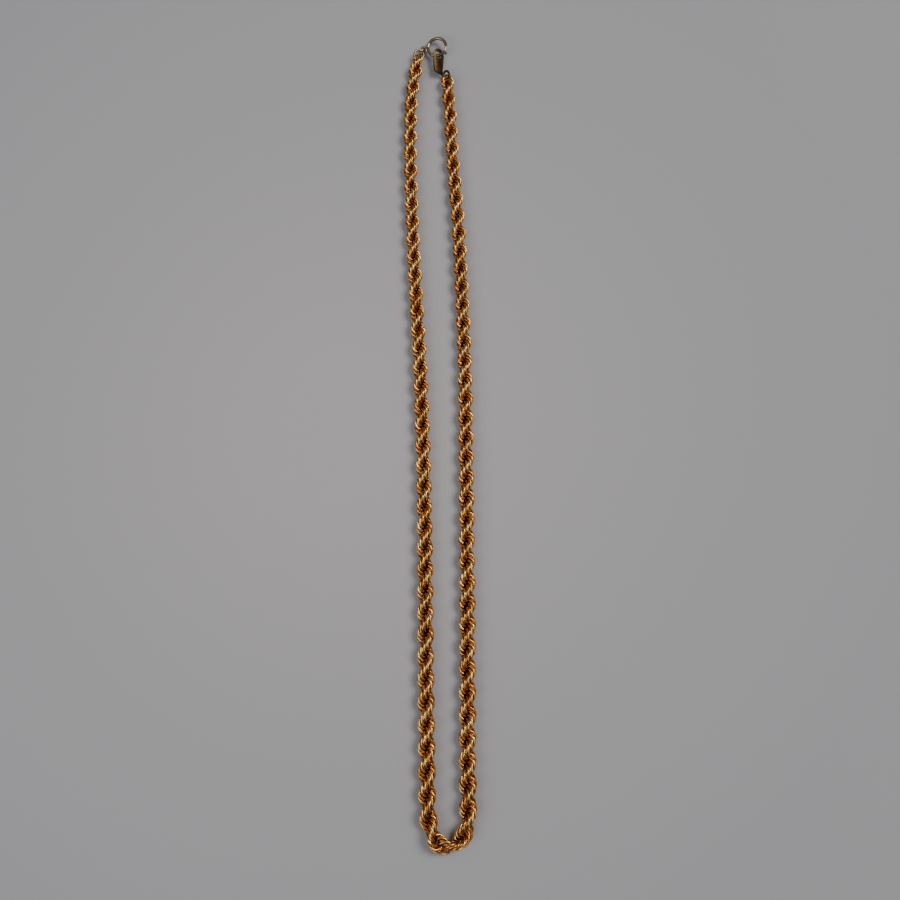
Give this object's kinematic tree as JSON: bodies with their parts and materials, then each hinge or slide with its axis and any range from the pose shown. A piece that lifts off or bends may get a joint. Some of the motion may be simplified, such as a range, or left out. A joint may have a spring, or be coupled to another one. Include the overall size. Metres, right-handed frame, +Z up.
{
  "type": "rope chain necklace",
  "caption": "Graduated rope chain necklace closed by a bolt ring with a sprung trigger, lying flat in a long narrow loop.",
  "frame": {"origin": "centre of the loop's bounding box, on the surface that the chain lies on", "axes": "+X across the loop, +Y along it towards the clasp, +Z up from the surface"},
  "size_m": [0.0208, 0.2292, 0.0051],
  "materials": {
    "rope_gold": "polished deep yellow gold",
    "clasp_gold": "polished pale yellow gold",
    "tag_gold": "worn, softly brushed yellow gold"
  },
  "bodies": {
    "chain": {"rope_left": "rope_gold", "rope_right": "rope_gold", "end_link": "rope_gold", "jump_ring": "clasp_gold", "bolt_ring": "clasp_gold", "tag": "tag_gold"},
    "trigger": {"trigger": "clasp_gold"}
  },
  "joints": [
    {"name": "trigger_slide", "type": "hinge", "parent": "chain", "child": "trigger", "pos_m": [-0.00078, 0.11146, 0.00204], "axis": [0.2079, 0, -0.9781], "range_deg": [0, 33], "stiffness_Nm_per_rad": 0.002}
  ]
}
